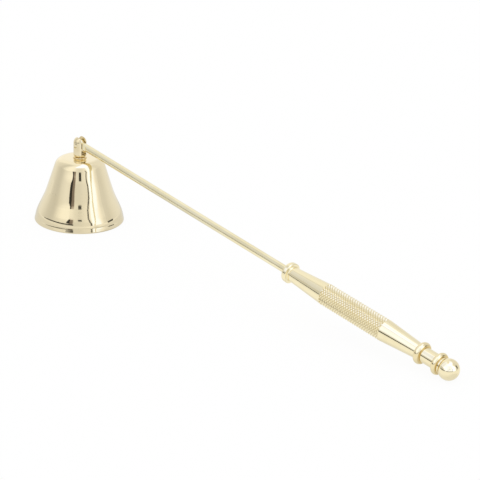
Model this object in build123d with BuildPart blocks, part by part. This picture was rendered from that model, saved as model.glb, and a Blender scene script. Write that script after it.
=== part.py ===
# Candle snuffer: a bell-shaped cup hinged in a forked post at the end of a long rod with a turned handle.
# Millimetres, +Z up. The origin is the centre of the bell's rim, on the table, and the handle lies along +X.
from math import asin, cos, pi, sin, sqrt
import os

from build123d import *

# Bell
rim_diameter = 35.2
bell_height = 25.5
bell_wall = 1.2
seat_margin = 0.1
shoulder_round = 3.8
waist_round = 30.0
flare_round = 15.0
# Corners of the bell's outline, as shares of the rim's radius and of the bell's height
shoulder_share = (0.508, 0.992)
waist_share = (0.770, 0.424)
flare_share = (0.955, 0.151)
rim_edge_share = 0.4

# Ring under the post, and the nut and washer inside the bell
foot_washer_diameter = 5.4
foot_washer_thickness = 0.4
foot_washer_round_share = 0.4
inner_washer_diameter = 6.4
inner_washer_thickness = 0.5
nut_across_flats = 5.0
nut_height = 2.0
nut_chamfer = 0.35
shank_diameter = 2.5
shank_past_nut = 0.8
thread_clearance = 0.03

# Forked post
post_diameter = 5.1
post_foot_diameter = 3.7
post_foot_height = 1.0
pin_rise = 5.4
cap_rise = 0.65
slot_width = 2.3
slot_depth = 4.0

# Hinge pin
pin_diameter = 1.6
pin_head_diameter = 2.3
pin_head_rim = 0.15
pin_head_dome = 0.3
head_recess = 0.35
press_clearance = 0.01
running_clearance = 0.05

# Rod
rod_diameter = 2.8
eye_diameter = 4.1
tongue_thickness = 2.0
eye_neck_round = 2.5
tongue_length = 3.9
cutter_radius = 3.0
rod_thread_length = 12.0

# Grip, with stations along the rod counted from the hinge pin
collar_station = 117.5
collar_thickness = 2.4
collar_diameter = 7.6
collar_front_round = 1.1
collar_back_round = 0.45
grip_neck_diameter = 5.4
grip_end_diameter = 5.5
grip_diameter = 8.04
front_taper_length = 17.2
knurl_length = 28.5
rear_taper_length = 15.7
bore_end_gap = 0.5

# Diamond knurl rolled into the middle of the grip. Its points stand above the tapers beside it.
knurl_starts = 18
knurl_pitch = 1.08
knurl_depth = 0.28
knurl_rise = 0.08

# Finial
spigot_diameter = 3.0
spigot_length = 8.0
bead_diameter = 7.95
front_bead_thickness = 2.6
rear_bead_thickness = 2.2
finial_neck_length = 5.5
finial_neck_diameter = 5.45
finial_waist_diameter = 6.0
finial_waist_length = 0.8
ball_diameter = 7.5

# Flat seat on the crown, as wide as the washer under it, and heights along the bell's axis
seat_diameter = inner_washer_diameter + 2 * seat_margin
pin_height = bell_height + pin_rise
foot_height = bell_height + foot_washer_thickness
slot_floor = pin_height - slot_depth
crown_underside = bell_height - bell_wall
nut_top = crown_underside - inner_washer_thickness
nut_corner = nut_across_flats / sqrt(3)
shank_end = nut_top - nut_height - shank_past_nut

# Hinge pin's head: the seat of its rim in the cheek, and its dome's height halfway out to the rim
head_seat = post_diameter / 2 - head_recess
dome_radius = ((pin_head_diameter / 2) ** 2 + pin_head_dome**2) / (2 * pin_head_dome)
pin_dome_middle = sqrt(dome_radius**2 - (pin_head_diameter / 4) ** 2) - dome_radius + pin_head_dome

# Rod's end: where the ball meets the rod, and where the milling cutter leaves the rod's side
eye_neck_station = sqrt((eye_diameter / 2) ** 2 - (rod_diameter / 2) ** 2)
cut_height = (eye_diameter - tongue_thickness) / 2
run_out_station = tongue_length + sqrt(cutter_radius**2 - (cutter_radius - cut_height) ** 2)

# Stations of the turned handle's steps, counted along the rod from the pin
front_taper_station = collar_station + collar_thickness
knurl_station = front_taper_station + front_taper_length
rear_taper_station = knurl_station + knurl_length
grip_end_station = rear_taper_station + rear_taper_length
taper_diameter = grip_diameter - 2 * knurl_rise
knurl_root_diameter = grip_diameter - 2 * knurl_depth
knurl_rows = round(knurl_length / knurl_pitch)
front_bead_station = grip_end_station + front_bead_thickness / 2
neck_station = grip_end_station + front_bead_thickness
rear_bead_station = neck_station + finial_neck_length + rear_bead_thickness / 2
waist_station = rear_bead_station + rear_bead_thickness / 2
waist_end_station = waist_station + finial_waist_length
ball_station = waist_end_station + sqrt((ball_diameter / 2) ** 2 - (finial_waist_diameter / 2) ** 2)

# At rest the handle leans down from the pin until its ball lies on the table.
rest_slope = asin((pin_height - ball_diameter / 2) / ball_station)
rod_direction = (cos(rest_slope), 0, -sin(rest_slope))
pin_centre = (0, 0, pin_height)
handle_plane = Plane(origin=pin_centre, x_dir=rod_direction, z_dir=(0, -1, 0))
tongue_plane = Plane(origin=pin_centre, x_dir=rod_direction, z_dir=(sin(rest_slope), 0, cos(rest_slope)))
handle_axis = Axis(origin=pin_centre, direction=rod_direction)
pin_plane = Plane(origin=pin_centre, x_dir=(0, 1, 0), z_dir=(1, 0, 0))
pin_axis = Axis(origin=pin_centre, direction=(0, 1, 0))


def along_rod(station):
    """The plane square to the rod at a station, its y up."""
    origin = handle_plane.from_local_coords((station, 0, 0))
    return Plane(origin=origin, x_dir=(0, 1, 0), z_dir=rod_direction)


def nearest(sketch, point):
    """The corner of a sketch that lies nearest to a point of its plane."""
    return sketch.vertices().sort_by_distance(point)[0]


def bell_corner(share):
    """A corner of the bell's outline from its shares of the rim's radius and the height."""
    return (share[0] * rim_diameter / 2, share[1] * bell_height)


def knurl_point(row, column):
    """A corner of the knurl, half a diamond along the rod for each row and half a diamond round it for
    each column: the point of a diamond where the two add up to an odd number, else a crossing of grooves."""
    radius = (grip_diameter if (row + column) % 2 else knurl_root_diameter) / 2
    angle = column * pi / knurl_starts
    along = knurl_station + row * knurl_length / (2 * knurl_rows)
    return handle_plane.from_local_coords((along, radius * cos(angle), radius * sin(angle)))


os.makedirs("parts", exist_ok=True)

# Bell: one turned outline, hollowed from below, with a hole for the post's shank in its crown
with BuildPart() as bell_shell:
    with BuildSketch(Plane.XZ) as bell_outline:
        with BuildLine():
            Line((0, 0), (0, bell_height))
            seat = Line((0, bell_height), (seat_diameter / 2, bell_height))
            TangentArc(seat @ 1, bell_corner(shoulder_share), tangent=(1, 0))
            Polyline(
                bell_corner(shoulder_share),
                bell_corner(waist_share),
                bell_corner(flare_share),
                (rim_diameter / 2, 0),
                (0, 0),
            )
        make_face()
        for share, corner_round in (
            (shoulder_share, shoulder_round),
            (waist_share, waist_round),
            (flare_share, flare_round),
        ):
            fillet(nearest(bell_outline, bell_corner(share)), corner_round)
    revolve(axis=Axis.Z)
    offset(amount=-bell_wall, openings=bell_shell.faces().sort_by(Axis.Z)[0])
    with Locations((0, 0, bell_height)):
        Hole(shank_diameter / 2 + thread_clearance, depth=2 * bell_wall)
    rim_edges = bell_shell.edges().group_by(Axis.Z)[0]
    fillet(rim_edges, rim_edge_share * bell_wall)
bell_shell.part.label = "bell_shell"
export_step(bell_shell.part, "parts/bell_shell.step")

# Forked post: turned with its threaded shank, then slotted along X and cross drilled
with BuildPart() as fork_post:
    with BuildSketch(Plane.XZ):
        with BuildLine():
            Polyline(
                (0, shank_end),
                (shank_diameter / 2, shank_end),
                (shank_diameter / 2, foot_height),
                (post_foot_diameter / 2, foot_height),
            )
            cheek = Line(
                (post_diameter / 2, foot_height + post_foot_height),
                (post_diameter / 2, pin_height + cap_rise),
            )
            TangentArc(cheek @ 0, (post_foot_diameter / 2, foot_height), tangent=(0, -1))
            TangentArc(cheek @ 1, (0, pin_height + cap_rise + post_diameter / 2), tangent=(0, 1))
            Line((0, pin_height + cap_rise + post_diameter / 2), (0, shank_end))
        make_face()
    revolve(axis=Axis.Z)
    with BuildSketch(Plane.XY.offset(slot_floor)):
        Rectangle(2 * post_diameter, slot_width)
    extrude(amount=slot_depth + cap_rise + post_diameter, mode=Mode.SUBTRACT)
    with BuildSketch(Plane.XZ):
        with Locations((0, pin_height)):
            Circle(pin_diameter / 2 + press_clearance)
    extrude(amount=post_diameter, both=True, mode=Mode.SUBTRACT)
    for side in (-1, 1):
        with BuildSketch(Plane.XZ.offset(-side * (post_diameter / 2 - head_recess))):
            with Locations((0, pin_height)):
                Circle(pin_head_diameter / 2 + press_clearance)
        extrude(amount=-side * post_diameter, mode=Mode.SUBTRACT)
fork_post.part.label = "fork_post"
export_step(fork_post.part, "parts/fork_post.step")

# Thin ring between the post and the crown, its rim rounded
with BuildPart() as foot_washer:
    with BuildSketch(Plane.XY.offset(bell_height)):
        Circle(foot_washer_diameter / 2)
        Circle(shank_diameter / 2 + thread_clearance, mode=Mode.SUBTRACT)
    extrude(amount=foot_washer_thickness)
    outer_rim = foot_washer.edges().sort_by(SortBy.LENGTH)[-2:]
    fillet(outer_rim, foot_washer_round_share * foot_washer_thickness)
foot_washer.part.label = "foot_washer"
export_step(foot_washer.part, "parts/foot_washer.step")

# Washer under the nut, inside the bell
with BuildPart() as inner_washer:
    with BuildSketch(Plane.XY.offset(nut_top)):
        Circle(inner_washer_diameter / 2)
        Circle(shank_diameter / 2 + thread_clearance, mode=Mode.SUBTRACT)
    extrude(amount=inner_washer_thickness)
inner_washer.part.label = "inner_washer"
export_step(inner_washer.part, "parts/inner_washer.step")

# Hexagon nut, its corners turned off on both faces
with BuildPart() as bell_nut:
    with BuildSketch(Plane.XY.offset(nut_top)):
        RegularPolygon(nut_across_flats / 2, 6, major_radius=False)
        Circle(shank_diameter / 2 + thread_clearance, mode=Mode.SUBTRACT)
    extrude(amount=-nut_height)
    with BuildSketch(Plane.XZ):
        with BuildLine():
            Polyline(
                (0, nut_top),
                (nut_across_flats / 2, nut_top),
                (nut_corner, nut_top - nut_chamfer),
                (nut_corner, nut_top - nut_height + nut_chamfer),
                (nut_across_flats / 2, nut_top - nut_height),
                (0, nut_top - nut_height),
                close=True,
            )
        make_face()
    revolve(axis=Axis.Z, mode=Mode.INTERSECT)
bell_nut.part.label = "bell_nut"
export_step(bell_nut.part, "parts/bell_nut.step")

# Hinge pin: a rivet with a low domed head in the recess of each cheek
with BuildPart() as hinge_pin:
    with BuildSketch(pin_plane):
        with BuildLine():
            Polyline(
                (0, 0),
                (0, pin_diameter / 2),
                (head_seat, pin_diameter / 2),
                (head_seat, pin_head_diameter / 2),
                (head_seat + pin_head_rim, pin_head_diameter / 2),
            )
            ThreePointArc(
                (head_seat + pin_head_rim, pin_head_diameter / 2),
                (head_seat + pin_head_rim + pin_dome_middle, pin_head_diameter / 4),
                (head_seat + pin_head_rim + pin_head_dome, 0),
            )
            Line((head_seat + pin_head_rim + pin_head_dome, 0), (0, 0))
        make_face()
        mirror(about=Plane.YZ)
    revolve(axis=pin_axis)
hinge_pin.part.label = "hinge_pin"
export_step(hinge_pin.part, "parts/hinge_pin.step")

# Rod: its end turned to a small ball, milled flat on both sides to a tongue and drilled for the pin
with BuildPart() as rod:
    with BuildSketch(handle_plane) as rod_outline:
        with BuildLine():
            ball_end = ThreePointArc(
                (-eye_diameter / 2, 0), (0, eye_diameter / 2), (eye_neck_station, rod_diameter / 2)
            )
            Polyline(
                ball_end @ 1,
                (collar_station + rod_thread_length, rod_diameter / 2),
                (collar_station + rod_thread_length, 0),
                ball_end @ 0,
            )
        make_face()
        fillet(nearest(rod_outline, (eye_neck_station, rod_diameter / 2)), eye_neck_round)
    revolve(axis=handle_axis)
    with BuildSketch(tongue_plane):
        with BuildLine():
            flat = Line((-eye_diameter, tongue_thickness / 2), (tongue_length, tongue_thickness / 2))
            run_out = TangentArc(flat @ 1, (run_out_station, eye_diameter / 2), tangent=(1, 0))
            Polyline(run_out @ 1, (-eye_diameter, eye_diameter / 2), flat @ 0)
        make_face()
        mirror(about=Plane.XZ)
    extrude(amount=eye_diameter, both=True, mode=Mode.SUBTRACT)
    with BuildSketch(handle_plane):
        Circle(pin_diameter / 2 + running_clearance)
    extrude(amount=tongue_thickness, both=True, mode=Mode.SUBTRACT)
rod.part.label = "rod"
export_step(rod.part, "parts/rod.step")

# Knurled band: four facets slope from the point of each diamond down to the grooves round it
knurl_faces = []
for row in range(2 * knurl_rows + 1):
    for column in range(1 - row % 2, 2 * knurl_starts, 2):
        crossings = [(row - 1, column), (row, column - 1), (row + 1, column), (row, column + 1)]
        for near, far in zip(crossings, crossings[1:] + crossings[:1]):
            if min(near[0], far[0]) >= 0 and max(near[0], far[0]) <= 2 * knurl_rows:
                facet = [knurl_point(row, column), knurl_point(*near), knurl_point(*far)]
                knurl_faces.append(Face(Wire.make_polygon(facet)))
for row in (0, 2 * knurl_rows):
    band_end = [knurl_point(row, column) for column in range(2 * knurl_starts)]
    knurl_faces.append(Face(Wire.make_polygon(band_end)))
knurled_band = Solid(Shell(knurl_faces))

# Grip: turned collar and front taper, knurled band, and rear taper, bored at both ends
with BuildPart() as grip:
    with BuildSketch(handle_plane) as grip_outline:
        with BuildLine():
            Polyline(
                (collar_station, 0),
                (collar_station, collar_diameter / 2),
                (front_taper_station, collar_diameter / 2),
                (front_taper_station, grip_neck_diameter / 2),
                (knurl_station, taper_diameter / 2),
                (knurl_station, 0),
                close=True,
            )
        make_face()
        with BuildLine():
            Polyline(
                (rear_taper_station, 0),
                (rear_taper_station, taper_diameter / 2),
                (grip_end_station, grip_end_diameter / 2),
                (grip_end_station, 0),
                close=True,
            )
        make_face()
        for station, diameter, corner_round in (
            (collar_station, collar_diameter, collar_front_round),
            (front_taper_station, collar_diameter, collar_back_round),
            (front_taper_station, grip_neck_diameter, collar_back_round),
        ):
            fillet(nearest(grip_outline, (station, diameter / 2)), corner_round)
    revolve(axis=handle_axis)
    add(knurled_band)
    with BuildSketch(along_rod(collar_station)):
        Circle(rod_diameter / 2 + thread_clearance)
    extrude(amount=rod_thread_length + bore_end_gap, mode=Mode.SUBTRACT)
    with BuildSketch(along_rod(grip_end_station)):
        Circle(spigot_diameter / 2 + thread_clearance)
    extrude(amount=-spigot_length - bore_end_gap, mode=Mode.SUBTRACT)
grip.part.label = "grip"
export_step(grip.part, "parts/grip.step")

# Finial: a threaded spigot, two half-round beads with a neck between them, and the ball
with BuildPart() as finial:
    with BuildSketch(handle_plane):
        with BuildLine():
            Polyline(
                (grip_end_station, finial_neck_diameter / 2),
                (grip_end_station, spigot_diameter / 2),
                (grip_end_station - spigot_length, spigot_diameter / 2),
                (grip_end_station - spigot_length, 0),
                (ball_station + ball_diameter / 2, 0),
            )
            ThreePointArc(
                (ball_station + ball_diameter / 2, 0),
                (ball_station, ball_diameter / 2),
                (waist_end_station, finial_waist_diameter / 2),
            )
            Polyline(
                (waist_end_station, finial_waist_diameter / 2),
                (waist_station, finial_waist_diameter / 2),
            )
            ThreePointArc(
                (waist_station, finial_waist_diameter / 2),
                (rear_bead_station, bead_diameter / 2),
                (rear_bead_station - rear_bead_thickness / 2, finial_neck_diameter / 2),
            )
            Line(
                (rear_bead_station - rear_bead_thickness / 2, finial_neck_diameter / 2),
                (neck_station, finial_neck_diameter / 2),
            )
            ThreePointArc(
                (neck_station, finial_neck_diameter / 2),
                (front_bead_station, bead_diameter / 2),
                (grip_end_station, finial_neck_diameter / 2),
            )
        make_face()
    revolve(axis=handle_axis)
finial.part.label = "finial"
export_step(finial.part, "parts/finial.step")
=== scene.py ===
# Candle snuffer: finishes, the post's thread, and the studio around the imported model.
from functools import reduce
from math import cos, degrees, pi, radians, sin

import bmesh
import bpy
from mathutils import Matrix, Vector


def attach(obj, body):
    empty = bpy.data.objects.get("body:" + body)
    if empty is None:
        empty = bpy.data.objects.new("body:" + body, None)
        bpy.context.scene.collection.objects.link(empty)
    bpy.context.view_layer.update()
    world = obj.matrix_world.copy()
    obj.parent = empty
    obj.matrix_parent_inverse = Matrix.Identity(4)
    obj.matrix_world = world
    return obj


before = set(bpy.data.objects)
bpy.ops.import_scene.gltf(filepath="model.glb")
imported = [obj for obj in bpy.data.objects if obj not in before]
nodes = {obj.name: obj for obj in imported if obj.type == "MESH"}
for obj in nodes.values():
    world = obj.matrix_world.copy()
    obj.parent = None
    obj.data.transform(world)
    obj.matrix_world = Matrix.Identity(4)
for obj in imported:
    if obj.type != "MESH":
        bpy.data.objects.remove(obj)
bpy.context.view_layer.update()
print("frame: %d nodes" % len(nodes))

white = (1.0, 1.0, 1.0)


class Signal:
    # one socket of a node tree, so that shader maths reads as Python

    def __init__(self, tree, socket=None):
        self.tree = tree
        self.socket = socket

    def node(self, kind, settings=None, inputs=None, out=0):
        # stops are the places and grey levels of a ramp
        made = self.tree.nodes.new(kind)
        for name, value in (settings or {}).items():
            if name == "stops":
                ramp = made.color_ramp.elements
                while len(ramp) < len(value):
                    ramp.new(0.5)
                for element, (position, shade) in zip(ramp, value):
                    element.position = position
                    element.color = (shade, shade, shade, 1)
            else:
                setattr(made, name, value)
        for name, value in (inputs or {}).items():
            socket = made.inputs[name]
            if isinstance(value, Signal):
                self.tree.links.new(value.socket, socket)
            elif socket.type == "RGBA":
                socket.default_value = (*value[:3], 1)
            else:
                socket.default_value = value
        return Signal(self.tree, made.outputs[out] if made.outputs else None)

    def maths(self, operation, *values):
        inputs = dict(enumerate((self, *values)))
        return self.node("ShaderNodeMath", {"operation": operation}, inputs)

    def __add__(self, other):
        return self.maths("ADD", other)

    __radd__ = __add__

    def __sub__(self, other):
        return self.maths("SUBTRACT", other)

    def __rsub__(self, other):
        return self.node("ShaderNodeMath", {"operation": "SUBTRACT"}, {0: other, 1: self})

    def __mul__(self, other):
        return self.maths("MULTIPLY", other)

    __rmul__ = __mul__

    def __truediv__(self, other):
        return self.maths("DIVIDE", other)

    def atLeast(self, other):
        return self.maths("MAXIMUM", other)

    def lengthWith(self, other):
        return (self * self + other * other).maths("SQRT")

    def step(self, low, high):
        # 0 below low, 1 above high and smooth between, or the other way round where low is higher
        inputs = {"Value": self, "From Min": low, "From Max": high}
        if low > high:
            inputs.update({"From Min": high, "From Max": low, "To Min": 1.0, "To Max": 0.0})
        return self.node("ShaderNodeMapRange", {"interpolation_type": "SMOOTHSTEP"}, inputs)

    def band(self, low, high, soft):
        # 1 between low and high, falling off over the soft width outside them
        return self.step(low - soft, low) * self.step(high + soft, high)

    def mix(self, first, second):
        # from the first colour at 0 to the second at 1, by the colour sockets of a Mix node
        inputs = {0: self, 6: first, 7: second}
        return self.node("ShaderNodeMix", {"data_type": "RGBA"}, inputs, out=2)

    def timesEach(self, other):
        # a vector or colour times another, number by number
        return self.node("ShaderNodeVectorMath", {"operation": "MULTIPLY"}, {0: self, 1: other})

    def split(self):
        parts = self.node("ShaderNodeSeparateXYZ", {}, {0: self}).socket.node.outputs
        return [Signal(self.tree, part) for part in parts]

    def noise(self, scale, detail):
        inputs = {"Vector": self, "Scale": scale, "Detail": detail}
        return self.node("ShaderNodeTexNoise", {}, inputs)

    def streaks(self, scale):
        # noise along one number only, for lines that a lathe leaves
        inputs = {"W": self, "Scale": scale, "Detail": 2.0}
        return self.node("ShaderNodeTexNoise", {"noise_dimensions": "1D"}, inputs)

    def objectPlace(self):
        return self.node("ShaderNodeTexCoord", out="Object")

    def glow(self, colour):
        return self.node("ShaderNodeEmission", {}, {"Color": colour, "Strength": 1.0})


def addObject(name, data):
    made = bpy.data.objects.new(name, data)
    bpy.context.scene.collection.objects.link(made)
    return made


def turnedTo(right, up, back, place):
    # the matrix of a camera or lamp, which looks away from back
    return Matrix.Translation(place) @ Matrix((right, up, back)).transposed().to_4x4()


def emptyMaterial(name):
    material = bpy.data.materials.new(name)
    material.use_nodes = True
    material.node_tree.nodes.clear()
    return material, Signal(material.node_tree)


# The camera faces the middle of the bell's rim, then moves to its right and up. Degrees and metres,
# with the focal length and the picture's width in pixels and the sensor's width in millimetres.
cameraView = {
    "distance": 0.8, "height": 20.754, "turn": 46.059, "roll": 2.272,
    "right": 0.063477, "up": -0.005844, "focal": 2034.1, "frame": 480, "sensor": 36,
    "clip": (0.01, 50),
}


def placeCamera(view):
    height, turn, roll = (radians(view[name]) for name in ("height", "turn", "roll"))
    back = Vector((sin(turn) * cos(height), -cos(turn) * cos(height), sin(height)))
    right = Vector((cos(turn), sin(turn), 0))
    up = back.cross(right)
    place = back * view["distance"] + right * view["right"] + up * view["up"]
    data = bpy.data.cameras.new("camera")
    data.sensor_width = view["sensor"]
    data.lens = data.sensor_width * view["focal"] / view["frame"]
    data.clip_start, data.clip_end = view["clip"]
    camera = addObject("camera", data)
    rolledRight = right * cos(roll) + up * sin(roll)
    rolledUp = up * cos(roll) - right * sin(roll)
    camera.matrix_world = turnedTo(rolledRight, rolledUp, back, place)
    bpy.context.scene.camera = camera


placeCamera(cameraView)
print("camera placed")

# The walls, which only polished metal shows: soft levels and a few dark marks. A turn is in degrees
# from the camera's side, + to the right, and a rise in degrees from level. Here and below, what a
# name with From speaks of sets in at its first number and is full at its second.
studioWalls = {
    "cameraTurn": -43.94,            # from +X to the camera's side, seen from above
    "brightest": 1.4,                # the most that a level below can be
    # turn and level at the height of the eye, and higher up
    "eyeLevel": [
        (-180, 1.00), (-156, 1.06), (-141, 0.90), (-123, 0.84), (-111, 0.77), (-99, 0.68),
        (-84, 0.64), (-75, 0.67), (-63, 0.79), (-45, 0.88), (-31, 0.86), (-9, 0.75), (6, 0.76),
        (18, 0.82), (38, 0.86), (39.2, 0.95), (40.6, 1.28), (50.3, 1.28), (51.5, 1.14),
        (52.7, 1.30), (63, 1.22), (69, 1.02), (75, 0.86), (84, 0.74), (96, 0.72), (117, 0.82),
        (132, 0.86), (156, 0.86), (168, 0.90), (180, 1.00),
    ],
    "highUp": [
        (-180, 0.97), (-160, 1.00), (-139, 0.99), (-131, 0.84), (-105, 0.75), (-93, 0.69),
        (-84, 0.70), (-77, 0.84), (-69, 0.93), (-60, 1.02), (-51, 1.06), (-30, 1.05),
        (-22, 1.00), (-16, 0.92), (-10, 0.86), (-3, 0.82), (15, 0.83), (27, 0.92), (38, 1.02),
        (41, 1.26), (57, 1.24), (64, 1.13), (72, 1.00), (84, 0.87), (99, 0.80), (111, 0.81),
        (123, 0.86), (164, 0.85), (180, 0.97),
    ],
    "highFrom": (17.5, 27.0),        # rise over which the first gives way to the second
    "topLevel": 0.98, "topFrom": (60, 85),
    "brightFrom": (1.05, 1.20), "brightTint": (0.90, 1.0, 1.22),
    "overhead": {"turn": (-24, 168), "soft": 12, "rise": (54, 68), "level": 1.28,
                 "tint": (0.92, 1.0, 1.36)},
    "cameraSpot": {"turn": (1.6, 11.2), "rise": (25.2, 28.4), "soft": 1.4, "depth": 0.93},
    "brownCard": {"turn": (-22, -14.5), "rise": (4.5, 25), "soft": 4.0, "depth": 0.72,
                  "tint": (1.0, 0.80, 0.72)},
    "blackFoot": {"turn": (-29, -11), "rise": (1.5, 4.5), "soft": 1.5, "depth": 0.5},
    # above leanAbove the card's left edge and the wire lean to the left, by lean degrees a degree
    "blackCard": {"turn": (-30.0, -22.5), "rise": (11.5, 27), "soft": 1.6, "depth": 0.95,
                  "leanAbove": 20, "lean": -0.9, "edgeFrom": (-32, -30)},
    "wire": {"turn": (34.8, 37.9), "soft": 1.0, "rise": (-1, 33), "endSoft": 2, "depth": 0.88,
             "leanAbove": 15, "lean": 0.33},
}


def wallLevel(turn, stops, brightest):
    # a ramp round the table, from 180 degrees left of the camera to 180 degrees right of it
    places = [(at / 360 + 0.5, level / brightest) for at, level in stops]
    share = turn / 360 + 0.5
    return share.node("ShaderNodeValToRGB", {"stops": places}, {"Fac": share}) * brightest


def darkMark(turn, rise, mark):
    across = turn.band(*mark["turn"], mark["soft"])
    return across * rise.band(*mark["rise"], mark["soft"]) * mark["depth"]


def leaning(turn, rise, mark):
    return turn + (rise - mark["leanAbove"]).atLeast(0.0) * mark["lean"]


def paintWorld(walls):
    world = bpy.data.worlds.new("studio")
    bpy.context.scene.world = world
    world.use_nodes = True
    world.node_tree.nodes.clear()
    start = Signal(world.node_tree)
    glossy = start.node("ShaderNodeLightPath", out="Is Glossy Ray")
    x, y, z = start.node("ShaderNodeTexCoord", out="Generated").split()
    facing = radians(walls["cameraTurn"])
    ahead = x * cos(facing) + y * sin(facing)
    aside = y * cos(facing) - x * sin(facing)
    turn = aside.maths("ARCTAN2", ahead) * degrees(1)
    rise = z.maths("ARCSINE") * degrees(1)

    high = rise.step(*walls["highFrom"])
    level = wallLevel(turn, walls["eyeLevel"], walls["brightest"]) * (1 - high)
    level = level + wallLevel(turn, walls["highUp"], walls["brightest"]) * high
    level = level + rise.step(*walls["topFrom"]) * (walls["topLevel"] - level)
    box = walls["overhead"]
    overhead = turn.band(*box["turn"], box["soft"]) * rise.step(*box["rise"])
    level = level + overhead * (box["level"] - level)

    card, wire = walls["blackCard"], walls["wire"]
    black = darkMark(turn, rise, card) * leaning(turn, rise, card).step(*card["edgeFrom"])
    brown = darkMark(turn, rise, walls["brownCard"])
    wireAcross = leaning(turn, rise, wire).band(*wire["turn"], wire["soft"])
    line = wireAcross * rise.band(*wire["rise"], wire["endSoft"]) * wire["depth"]
    plainMarks = [darkMark(turn, rise, walls[name]) for name in ("blackFoot", "cameraSpot")]
    for dark in (*plainMarks, black, brown, line):
        level = level * (1 - dark)

    tint = level.step(*walls["brightFrom"]).mix(white, walls["brightTint"])
    tint = overhead.mix(tint, box["tint"])
    tint = brown.mix(tint, walls["brownCard"]["tint"])
    shown = tint.timesEach(level)
    picture = start.node("ShaderNodeBackground", {}, {"Color": shown, "Strength": 1.0})
    plain = start.node("ShaderNodeBackground", {}, {"Color": white, "Strength": 1.0})
    mixed = start.node("ShaderNodeMixShader", {}, {0: glossy, 1: plain, 2: picture})
    start.node("ShaderNodeOutputWorld", {}, {"Surface": mixed})


def layStage(name, corners, material, hiddenFrom=()):
    # one flat sheet of the studio
    mesh = bpy.data.meshes.new(name)
    mesh.from_pydata(corners, [], [(0, 1, 2, 3)])
    mesh.materials.append(material)
    sheet = addObject(name, mesh)
    for sense in hiddenFrom:
        setattr(sheet, "visible_" + sense, False)


# The paper under it all: white to the camera with a soft shadow, and uneven in polished metal,
# where it glows with a painted shadow under the object and round the bell
floorPaper = {
    "size": 3.0, "albedo": 0.99, "shadowShare": 0.07,
    "middle": 0.1, "halfLength": 0.1,          # the line under the object, along X from the bell
    "under": 0.84, "near": 1.0, "far": 0.84,   # level under that line, a painted shadow, beside it and further off
    "nearFrom": (0.002, 0.009), "farFrom": (0.03, 0.085),    # distances from that line
    "bellShade": 0.25, "bellFrom": (0.075, 0.035),           # how much darker the painted shadow makes it round the bell
}


def layFloor(paper):
    half = paper["size"] / 2
    material, start = emptyMaterial("paleFloor")
    camera = start.node("ShaderNodeLightPath", out="Is Camera Ray")
    glossy = start.node("ShaderNodeLightPath", out="Is Glossy Ray")
    x, y = start.objectPlace().split()[:2]
    beyond = ((x - paper["middle"]).maths("ABSOLUTE") - paper["halfLength"]).atLeast(0.0)
    away = beyond.lengthWith(y)
    # painted shadow in the glow that polished metal sees: dark under the object, bright beside it,
    # dimmer further off, darker round the bell
    level = paper["under"] + away.step(*paper["nearFrom"]) * (paper["near"] - paper["under"])
    level = level + away.step(*paper["farFrom"]) * (paper["far"] - paper["near"])
    level = level * (1 - x.lengthWith(y).step(*paper["bellFrom"]) * paper["bellShade"])
    shown = start.glow(camera.mix(level, white))
    shaded = start.node("ShaderNodeBsdfDiffuse", {}, {"Color": (paper["albedo"],) * 3})
    share = camera.atLeast(glossy) * (1 - paper["shadowShare"])
    shader = start.node("ShaderNodeMixShader", {}, {0: share, 1: shaded, 2: shown})
    start.node("ShaderNodeOutputMaterial", {}, {"Surface": shader})
    corners = [(-half, -half, 0), (half, -half, 0), (half, half, 0), (-half, half, 0)]
    layStage("floor", corners, material)


# Soft boxes beside the table: the place that each is turned to, its turn and rise from there in
# degrees, how far off it stands, its width and height, its level, and the nodes that it lights
boxDefaults = {"away": 0.5, "tint": (0.8, 1.0, 1.8)}
handleNodes = ("rod", "grip", "finial", "fork_post", "hinge_pin", "foot_washer")
softBoxes = {
    "rearBox": {"at": (0.172, 0, 0.008), "turn": -72, "rise": 42, "size": (0.34, 0.52),
                "level": 0.33, "lights": ("grip",)},
    "topBox": {"at": (0.172, 0, 0.008), "turn": -120, "rise": 79, "size": (0.26, 0.26),
               "level": 0.4, "lights": ("grip",)},
    "neckBox": {"at": (0.188, 0, 0.005), "turn": -86, "rise": 48, "size": (0.48, 0.5),
                "level": 0.32, "lights": ("finial",)},
    "ballBox": {"at": (0.193, 0, 0.004), "turn": 7, "rise": 34, "size": (1.84, 0.54),
                "level": 0.37, "lights": ("finial",)},
    "ballTop": {"at": (0.193, 0, 0.004), "turn": 10, "rise": 76, "size": (0.44, 0.26),
                "level": 0.22, "lights": ("finial",)},
    "fillBox": {"at": (0.09, 0, 0.016), "turn": -102, "rise": 40, "size": (0.9, 0.8),
                "level": 0.10, "lights": ("rod", "grip"), "away": 1.5},
    # these two wash out, on the handle and the fork, the black and brown card that the bell shows
    "blackWash": {"at": (0.1, 0, 0.02), "turn": -26.0, "rise": 19.2, "size": (0.43, 0.88),
                  "level": 0.8, "lights": handleNodes, "away": 3, "tint": white},
    "brownWash": {"at": (0.1, 0, 0.02), "turn": -17.6, "rise": 14.7, "size": (0.50, 1.12),
                  "level": 0.55, "lights": handleNodes, "away": 3, "tint": white},
}


def hangBox(name, box, facing):
    turn, rise = radians(facing + box["turn"]), radians(box["rise"])
    back = Vector((cos(turn) * cos(rise), sin(turn) * cos(rise), sin(rise)))
    across = Vector((-sin(turn), cos(turn), 0))
    width, height = box["size"]
    light = bpy.data.lights.new(name, "AREA")
    light.shape = "RECTANGLE"
    light.size, light.size_y = width, height
    light.energy = box["level"] * pi * width * height
    light.color = box["tint"]
    lamp = addObject(name, light)
    place = Vector(box["at"]) + back * box["away"]
    lamp.matrix_world = turnedTo(across, back.cross(across), back, place)
    lamp.visible_camera = False
    lit = bpy.data.collections.new(name + "Lights")
    for node in box["lights"]:
        lit.objects.link(nodes[node])
    lamp.light_linking.receiver_collection = lit


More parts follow.
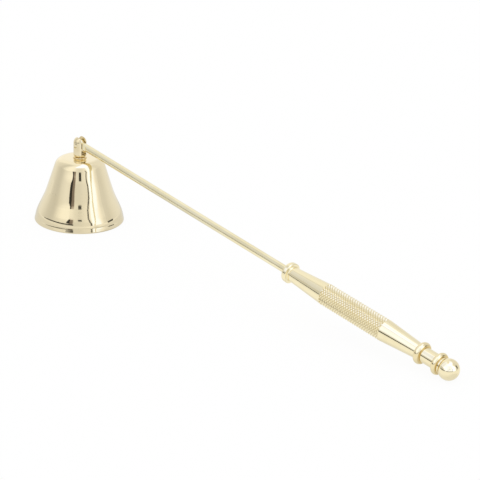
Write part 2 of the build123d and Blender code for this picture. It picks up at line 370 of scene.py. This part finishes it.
# Dark cards that only polished metal shows: middle, width and height, direction faced in degrees,
# and level. A card with a reach is clear to rays that come from further off than that.
darkCards = {
    "lowRail": {"at": (-0.025, -0.3, 0.029), "size": (0.47, 0.034), "facing": 90, "level": 0.08},
    "sideRail": {"at": (0.047, 0.040, 0.0035), "size": (0.018, 0.007), "facing": -134,
                 "level": 0.08},
    "leftRail": {"at": (-0.25, -0.245, 0.017), "size": (0.09, 0.018), "facing": 44.5,
                 "level": 0.08},
    "ballCard": {"at": (0.2308, 0.0466, 0.0276), "size": (0.0200, 0.0340), "facing": -129,
                 "level": 0.2, "reach": 0.0740},
    "ballRail": {"at": (0.373, -0.174, 0.012), "size": (0.42, 0.014), "facing": 136,
                 "level": 0.25, "reach": 0.3},
    "taperRail": {"at": (0.1285, -0.09, 0.0132), "size": (0.023, 0.0140), "facing": 90,
                  "level": 0.05, "reach": 0.108},
}
reachSoft = 0.0008          # metres over which a card clears at its reach
allButGlossy = ("camera", "diffuse", "shadow", "transmission", "volume_scatter")


def standCard(name, card):
    material, start = emptyMaterial(name + "Card")
    shader = start.glow((card["level"],) * 3)
    if "reach" in card:
        length = start.node("ShaderNodeLightPath", out="Ray Length")
        near = length.step(card["reach"] + reachSoft, card["reach"])
        clear = start.node("ShaderNodeBsdfTransparent", {}, {"Color": white})
        shader = start.node("ShaderNodeMixShader", {}, {0: near, 1: clear, 2: shader})
    start.node("ShaderNodeOutputMaterial", {}, {"Surface": shader})
    turn = radians(card["facing"])
    width, height = card["size"]
    across = Vector((-sin(turn), cos(turn), 0)) * (width / 2)
    up = Vector((0, 0, height / 2))
    low, high = Vector(card["at"]) - up, Vector(card["at"]) + up
    corners = [low - across, low + across, high + across, high - across]
    layStage(name, corners, material, allButGlossy)


paintWorld(studioWalls)
layFloor(floorPaper)
for cardName, cardValues in darkCards.items():
    standCard(cardName, cardValues)
for boxName, boxValues in softBoxes.items():
    hangBox(boxName, {**boxDefaults, **boxValues}, studioWalls["cameraTurn"])
bpy.context.scene.view_settings.view_transform = "Standard"
print("studio laid out")

# The handle's middle line: degrees below level, and its height over the bell's middle in metres
handleLine = {"slope": 8.02, "hinge": 0.0309}


def handlePlace(start):
    # how far along the handle a point is, and how far from its middle line
    x, y, z = start.objectPlace().split()
    slope = radians(handleLine["slope"])
    lift = z - handleLine["hinge"]
    along = x * cos(slope) - lift * sin(slope)
    aside = x * sin(slope) + lift * cos(slope)
    return along, aside.lengthWith(y)


def metal(start, colour, rough, relief):
    bump = start.node("ShaderNodeBump", {}, {"Height": relief, "Strength": 1.0, "Distance": 1.0})
    inputs = {"Base Color": colour, "Metallic": 1.0, "Roughness": rough, "Normal": bump}
    shader = start.node("ShaderNodeBsdfPrincipled", {}, inputs)
    start.node("ShaderNodeOutputMaterial", {}, {"Surface": shader})


# What every polished finish shares: smudges, a fine haze and short scratches in its roughness
polish = {
    "smudgeFrom": (0.42, 0.66), "smudgeWorn": 0.35,
    "hazeScale": 5, "haze": 0.02,                    # its scale is counted in smudge scales
    "scratchStretch": (1, 3, 14), "scratchScale": 310,
    "scratchFrom": (0.62, 0.70), "scratch": 0.03,
    "peelScale": 900,
}


def plating(start, finish, dull=None, wornAndShadeBy=None, height=None, paintedShadeBy=None):
    # dull adds roughness, wornAndShadeBy takes the colour towards the worn one, for smudges, the
    # bell's inside and painted shade, and paintedShadeBy towards the dark one, for painted shade,
    # and height is a relief in metres
    place = start.objectPlace()
    smudge = place.noise(finish["smudgeScale"], 3.0).step(*polish["smudgeFrom"])
    haze = place.noise(finish["smudgeScale"] * polish["hazeScale"], 2.0)
    scratches = place.timesEach(polish["scratchStretch"]).noise(polish["scratchScale"], 1.0)
    rough = finish["roughness"] + smudge * finish["smudge"] + (haze - 0.5) * polish["haze"]
    rough = rough + scratches.step(*polish["scratchFrom"]) * polish["scratch"]
    if dull:
        rough = rough + dull
    relief = (place.noise(polish["peelScale"], 1.0) - 0.5) * finish["peel"]
    if height:
        relief = relief + height
    wornAndShade = smudge * polish["smudgeWorn"]
    if wornAndShadeBy:
        wornAndShade = wornAndShade.atLeast(wornAndShadeBy)
    # the worn colour carries smudges and, on the fork, rod, grip and finial, painted shade
    colour = wornAndShade.mix(finish["colour"], finish["wornAndShade"])
    # a darker painted shade on top, where one is given
    if paintedShadeBy:
        colour = paintedShadeBy.mix(colour, finish["paintedShade"])
    metal(start, colour, rough, relief)


# The finishes: pale gold plating, polished after the piece was spun or turned. Reliefs and places
# are in metres, and a place with three numbers is a band: start, end and how softly it falls off.
bellFinish = {
    "colour": (0.93, 0.82, 0.565), "wornAndShade": (0.90, 0.775, 0.50),
    "roughness": 0.035, "smudge": 0.04, "smudgeScale": 70, "peel": 0.0000012,
    "wave": 0.00016, "waveScale": 85,                     # slow waves that polishing leaves
    "swell": 0.00047, "swellFrom": (0.0175, 0.0243),      # fall of the wall towards the shoulder
    "lip": 0.000147, "lipFrom": (0.0019, 0.0043),         # step above the rim
    "lipGroove": 0.000022, "lipGrooveAt": (0.00198, 0.00202, 0.0004),
    "rings": 0.000002, "ringScale": 2600,
    # the inside faces the axis or, under the crown, down
    "inwardFrom": (-0.02, -0.15), "downFrom": (-0.4, -0.6), "crownFrom": (0.017, 0.018),
    "insideRough": 0.24, "insideWorn": 0.8, "insideRings": 0.00002,
}


def bellMaterial(finish):
    material, start = emptyMaterial("bellPlating")
    place = start.objectPlace()
    x, y, z = place.split()
    normalX, normalY, normalZ = start.node("ShaderNodeTexCoord", out="Normal").split()
    outward = (normalX * x + normalY * y) / x.lengthWith(y)
    underCrown = normalZ.step(*finish["downFrom"]) * z.step(*finish["crownFrom"])
    inside = outward.step(*finish["inwardFrom"]).atLeast(underCrown)
    wave = (place.noise(finish["waveScale"], 1.0) - 0.5) * finish["wave"]
    swell = z.step(*finish["swellFrom"]) * -finish["swell"]
    ringDepth = finish["rings"] + inside * finish["insideRings"]
    rings = (z.streaks(finish["ringScale"]) - 0.5) * ringDepth
    groove = z.band(*finish["lipGrooveAt"]) * finish["lipGroove"]
    lip = z.step(*finish["lipFrom"]) * finish["lip"] - groove
    dull, wornAndShade = inside * finish["insideRough"], inside * finish["insideWorn"]
    plating(start, finish, dull, wornAndShade, wave + swell + rings + lip)
    return material


forkFinish = {
    "colour": (0.92, 0.81, 0.555), "wornAndShade": (0.74, 0.60, 0.34), "paintedShade": (0.08, 0.055, 0.025),
    "roughness": 0.055, "smudge": 0.05, "smudgeScale": 160, "peel": 0.000002,
    "throatAcross": (-0.00118, 0.00118, 0.0001), "throatUp": (0.0262, 0.0302, 0.0008),
    "throatRough": 0.12, "throatShade": 0.2,
    "pitAcross": (0.0001, 0.0008, 0.0003), "pitUp": (0.0269, 0.0272, 0.0003),
    "pitRough": 0.2, "pitShadow": 0.85,
    "cheekAcross": (0.00105, 0.00119, 0.00006), "cheekFrom": (0.0298, 0.0312), "cheekShade": 0.9,
    "footFrom": (0.0270, 0.0266), "footShade": 0.25,
}


def forkMaterial(finish):
    # painted shade: brown in the fork's throat, on the inner faces of its cheeks and round its
    # foot, with one dark spot painted as the shadow in the gap under the rod's eye
    material, start = emptyMaterial("forkPlating")
    y, z = start.objectPlace().split()[1:]
    # painted shade in the throat, on the cheeks' inner faces and round the foot, and a painted
    # shadow in the dark spot
    throat = y.band(*finish["throatAcross"]) * z.band(*finish["throatUp"])
    cheeks = y.maths("ABSOLUTE").band(*finish["cheekAcross"]) * z.step(*finish["cheekFrom"])
    shadowSpot = throat * z.band(*finish["pitUp"]) * y.band(*finish["pitAcross"])
    foot = z.step(*finish["footFrom"])
    dull = throat * finish["throatRough"] + shadowSpot * finish["pitRough"]
    wornAndShade = (throat * finish["throatShade"]).atLeast(foot * finish["footShade"])
    wornAndShade = wornAndShade.atLeast(cheeks * finish["cheekShade"])
    plating(start, finish, dull, wornAndShade, paintedShadeBy=shadowSpot * finish["pitShadow"])
    return material


pinFinish = {
    "colour": (0.90, 0.79, 0.53), "wornAndShade": (0.82, 0.68, 0.42),
    "roughness": 0.09, "smudge": 0.06, "smudgeScale": 300, "peel": 0.000003,
}


def pinMaterial(finish):
    material, start = emptyMaterial("pinPlating")
    plating(start, finish)
    return material


rodFinish = {
    "colour": (0.925, 0.845, 0.58), "wornAndShade": (0.80, 0.69, 0.40),
    "roughness": 0.05, "smudge": 0.04, "smudgeScale": 90, "peel": 0.0000015,
    "wave": 0.00012, "waveScale": 45, "waveStretch": (1, 4, 4),
    "hair": 0.000004, "hairScale": 2600, "hairStretch": (0.04, 1, 1),
    "tongueFrom": (0.0036, 0.0026), "tongueAcross": (-0.00102, 0.00102, 0.00006),
    "tongueRough": 0.12, "tongueShade": 0.7,
}


def rodMaterial(finish):
    # drawn rod: long faint waves and hair lines along it, and on the flats of its tongue more
    # roughness and a painted shade, the dark that the fork's cheeks reflect there
    material, start = emptyMaterial("rodPlating")
    place = start.objectPlace()
    y = place.split()[1]
    along = handlePlace(start)[0]
    slow = place.timesEach(finish["waveStretch"]).noise(finish["waveScale"], 1.0) - 0.5
    hair = place.timesEach(finish["hairStretch"]).noise(finish["hairScale"], 1.0) - 0.5
    # painted shade on the tongue's flats, where the cheeks reflect dark
    tongue = along.step(*finish["tongueFrom"]) * y.band(*finish["tongueAcross"])
    dull, wornAndShade = tongue * finish["tongueRough"], tongue * finish["tongueShade"]
    plating(start, finish, dull, wornAndShade, slow * finish["wave"] + hair * finish["hair"])
    return material


gripFinish = {
    "colour": (0.93, 0.835, 0.56), "wornAndShade": (0.86, 0.74, 0.44), "paintedShade": (0.48, 0.36, 0.15),
    "roughness": 0.05, "smudge": 0.05, "smudgeScale": 110, "peel": 0.0000015,
    "rings": 0.0000035, "ringScale": 3200,
    "knurlAlong": (0.1371, 0.1656, 0.0003), "knurlRough": 0.07,
    # radii over which the grooves' painted shade sets in, and the narrower painted dark line in
    # their bottoms
    "grooveFrom": (0.00400, 0.00378), "grooveRough": 0.05, "grooveShade": 0.15,
    "lineFrom": (0.00385, 0.00378), "lineShade": 0.4,
}


def gripMaterial(finish):
    # turned tapers with fine lathe lines, and a knurl with painted shade in its grooves, brown, and
    # darker still in their bottoms
    material, start = emptyMaterial("gripPlating")
    along, out = handlePlace(start)
    knurl = along.band(*finish["knurlAlong"])
    # painted shade: browner in the grooves and darkest in a line at their bottoms
    groove = out.step(*finish["grooveFrom"]) * knurl
    line = out.step(*finish["lineFrom"]) * knurl
    rings = (along.streaks(finish["ringScale"]) - 0.5) * finish["rings"] * (1 - knurl)
    dull = knurl * finish["knurlRough"] + groove * finish["grooveRough"]
    plating(start, finish, dull, groove * finish["grooveShade"], rings, line * finish["lineShade"])
    return material


finialFinish = {
    "colour": (0.93, 0.83, 0.555), "wornAndShade": (0.84, 0.71, 0.41), "paintedShade": (0.58, 0.40, 0.11),
    "roughness": 0.05, "smudge": 0.05, "smudgeScale": 130, "peel": 0.0000015,
    "rings": 0.000003, "ringScale": 3200,
    "beadsAlong": [(0.1813, 0.1839, 0.0002), (0.1894, 0.1916, 0.0002)], "beadShade": 0.6,
    "corners": (0.1813, 0.1839, 0.1894, 0.1916, 0.1926),
    "cornerHalf": 0.0001, "cornerSoft": 0.0003,
    "cornerRough": 0.08, "cornerAmberShade": 0.9, "cornerDarkShade": 0.5,
}


def finialMaterial(finish):
    # painted shade in the corners between the beads, the neck and the ball, and on the beads
    material, start = emptyMaterial("finialPlating")
    along = handlePlace(start)[0]
    rings = (along.streaks(finish["ringScale"]) - 0.5) * finish["rings"]
    half, soft = finish["cornerHalf"], finish["cornerSoft"]
    # painted shade: darker in the corners, amber on the beads
    corners = [along.band(at - half, at + half, soft) for at in finish["corners"]]
    beads = [along.band(*bead) for bead in finish["beadsAlong"]]
    corner, bead = reduce(Signal.atLeast, corners), reduce(Signal.atLeast, beads)
    dull, paintedShade = corner * finish["cornerRough"], corner * finish["cornerDarkShade"]
    wornAndShade = (corner * finish["cornerAmberShade"]).atLeast(bead * finish["beadShade"])
    plating(start, finish, dull, wornAndShade, rings, paintedShade)
    return material


zincFinish = {
    "colour": (0.72, 0.71, 0.68), "dark": (0.50, 0.50, 0.49), "roughness": 0.34,
    "spangleScale": 900, "spangleRough": 0.14, "spangleShare": 0.7,
    "grainScale": 2500, "grainShare": 0.3, "grain": 0.000006,
}


def zincMaterial(finish):
    # plain zinc on the nut and its washer, in small crystals
    material, start = emptyMaterial("zincPlating")
    place = start.objectPlace()
    inputs = {"Vector": place, "Scale": finish["spangleScale"]}
    cell = place.node("ShaderNodeTexVoronoi", {}, inputs, out="Color").split()[0]
    grain = place.noise(finish["grainScale"], 2.0)
    shade = cell * finish["spangleShare"] + grain * finish["grainShare"]
    rough = finish["roughness"] + (cell - 0.5) * finish["spangleRough"]
    metal(start, shade.mix(finish["dark"], finish["colour"]), rough, grain * finish["grain"])
    return material


forkPlating = forkMaterial(forkFinish)
zincPlating = zincMaterial(zincFinish)
finishOf = {
    "bell_shell": bellMaterial(bellFinish), "fork_post": forkPlating, "foot_washer": forkPlating,
    "hinge_pin": pinMaterial(pinFinish), "bell_nut": zincPlating, "inner_washer": zincPlating,
    "rod": rodMaterial(rodFinish), "grip": gripMaterial(gripFinish),
    "finial": finialMaterial(finialFinish),
}
for nodeName, nodeObject in nodes.items():
    for slot in nodeObject.material_slots:
        slot.material = finishOf[nodeName]
print("finishes set")

# The thread on the post's end, which shows under the nut inside the bell. Metres, and heights over
# the table for its start and end.
postThread = {
    "radius": 0.00122, "depth": 0.00013, "pitch": 0.0004, "start": 0.02106, "end": 0.02172,
    "steps": 40, "fade": 6,              # steps in one turn, and those over which an end fades
    "root": 0.42, "crest": 0.06,         # half the ridge's width at its foot and top, in pitches
}


def cutThread(thread):
    # one ridge with a narrow flat crest, wound up the shank
    ridge = bmesh.new()
    pitch, steps, fade = thread["pitch"], thread["steps"], thread["fade"]
    root, crest = thread["root"], thread["crest"]
    count = round((thread["end"] - thread["start"]) / pitch * steps)
    rows = []
    for step in range(count + 1):
        angle = 2 * pi * step / steps
        middle = thread["start"] + pitch * step / steps
        depth = thread["depth"] * min(1, step / fade, (count - step) / fade)
        row = []
        for out, up in ((0, -root), (depth, -crest), (depth, crest), (0, root)):
            radius = thread["radius"] + out
            place = (radius * cos(angle), radius * sin(angle), middle + up * pitch)
            row.append(ridge.verts.new(place))
        rows.append(row)
    for low, high in zip(rows, rows[1:]):
        for k in range(4):
            ridge.faces.new((low[k], high[k], high[(k + 1) % 4], low[(k + 1) % 4]))
    ridge.faces.new(rows[0])
    ridge.faces.new(rows[-1][::-1])
    bmesh.ops.recalc_face_normals(ridge, faces=ridge.faces)
    mesh = bpy.data.meshes.new("post_thread")
    ridge.to_mesh(mesh)
    ridge.free()
    mesh.materials.append(forkPlating)
    piece = addObject("post_thread", mesh)
    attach(piece, "bell")


cutThread(postThread)
print("thread cut")
